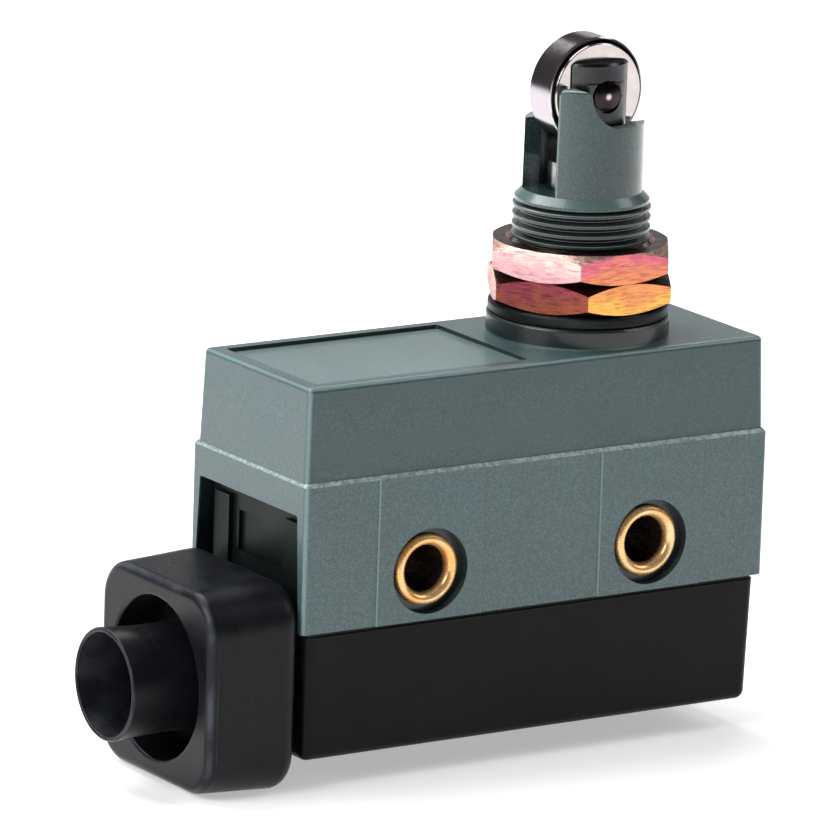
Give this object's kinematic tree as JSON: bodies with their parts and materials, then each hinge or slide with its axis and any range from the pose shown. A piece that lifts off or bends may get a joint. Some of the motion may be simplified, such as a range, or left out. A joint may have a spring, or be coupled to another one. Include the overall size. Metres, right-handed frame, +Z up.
{
  "type": "limit switch",
  "caption": "Enclosed limit switch with a cast body, black lower cover, rubber cable boot and a threaded panel-mount head carrying a sprung roller plunger between guard walls.",
  "frame": {"origin": "midway between the two side mounting holes, on the body's mid-plane", "axes": "+X towards the plunger end (the cable leaves along -X), +Y across the body along the mounting holes, +Z up the head to the roller"},
  "size_m": [0.0688, 0.0208, 0.0689],
  "materials": {
    "housing_paint": "satin grey-green enamel on a zinc casting",
    "head_paint": "satin grey-green enamel on the threaded bush",
    "cover_plastic": "black moulded thermoset, fine grain",
    "boot_rubber": "soft black rubber with a faint bloom",
    "seal_rubber": "black nitrile rubber",
    "eyelet_brass": "bright brass",
    "nut_zinc": "yellow-passivated zinc plating with pink and orange tints",
    "roller_steel": "hardened steel, ground and polished",
    "plunger_steel": "turned stainless steel",
    "pin_steel": "blackened steel",
    "spring_steel": "spring steel wire",
    "screw_steel": "nickel-plated steel",
    "switch_phenolic": "brown phenolic moulding",
    "button_plastic": "red moulded button",
    "terminal_brass": "plated brass strip",
    "blade_copper": "beryllium copper strip",
    "contact_silver": "silver contact"
  },
  "bodies": {
    "enclosure": {"housing": "housing_paint", "threaded_head": "head_paint", "panel_seal_washer": "seal_rubber", "mounting_eyelet_cable_side": "eyelet_brass", "mounting_eyelet_plunger_side": "eyelet_brass", "plunger_seal": "seal_rubber", "spring_retainer": "spring_steel", "retaining_ring": "spring_steel", "bottom_cover": "cover_plastic", "cover_gasket": "seal_rubber", "cover_screws": "screw_steel", "cable_boot": "boot_rubber", "cable_nozzle": "boot_rubber", "switch_base": "switch_phenolic", "switch_lid": "switch_phenolic", "common_terminal": "terminal_brass", "normally_open_terminal": "terminal_brass", "normally_closed_terminal": "terminal_brass", "fixed_contact_open": "contact_silver", "fixed_contact_closed": "contact_silver", "terminal_clamps": "screw_steel", "terminal_screws": "screw_steel"},
    "plunger": {"plunger": "plunger_steel", "roller_axle": "pin_steel", "stop_ring": "spring_steel", "push_rod_guide": "terminal_brass", "return_spring": "spring_steel", "overtravel_spring": "spring_steel"},
    "roller": {"roller": "roller_steel"},
    "trip_rod": {"push_rod": "plunger_steel", "switch_button": "button_plastic"},
    "contact_blade": {"moving_blade": "blade_copper", "moving_contact": "contact_silver"},
    "lower_lock_nut": {"lock_nut_lower": "nut_zinc"},
    "upper_lock_nut": {"lock_nut_upper": "nut_zinc"}
  },
  "joints": [
    {"name": "plunger_press", "type": "slide", "parent": "enclosure", "child": "plunger", "axis": [0, 0, -1], "range_m": [0, 0.005], "stiffness_N_per_m": 2000, "deforming": ["return_spring", "overtravel_spring"]},
    {"name": "roller_turn", "type": "hinge", "parent": "plunger", "child": "roller", "pos_m": [0.0103, 0, 0.043], "axis": [0, 1, 0], "continuous": true},
    {"name": "trip_rod_slide", "type": "slide", "parent": "enclosure", "child": "trip_rod", "axis": [0, 0, -1], "range_m": [0, 0.0006]},
    {"name": "contact_blade_swing", "type": "hinge", "parent": "enclosure", "child": "contact_blade", "pos_m": [0.0174, 0, 0.0094], "axis": [0, -1, 0], "range_deg": [0, 4.85]},
    {"name": "lower_nut_turn", "type": "hinge", "parent": "enclosure", "child": "lower_lock_nut", "pos_m": [0.0103, 0, 0.0239], "axis": [0, 0, 1], "continuous": true},
    {"name": "upper_nut_turn", "type": "hinge", "parent": "enclosure", "child": "upper_lock_nut", "pos_m": [0.0103, 0, 0.0269], "axis": [0, 0, 1], "continuous": true}
  ],
  "couplings": [
    {"joint": "trip_rod_slide", "follows": "plunger_press", "ratio": 0.12},
    {"joint": "contact_blade_swing", "follows": "plunger_press", "rad_per_m": 16.9}
  ]
}
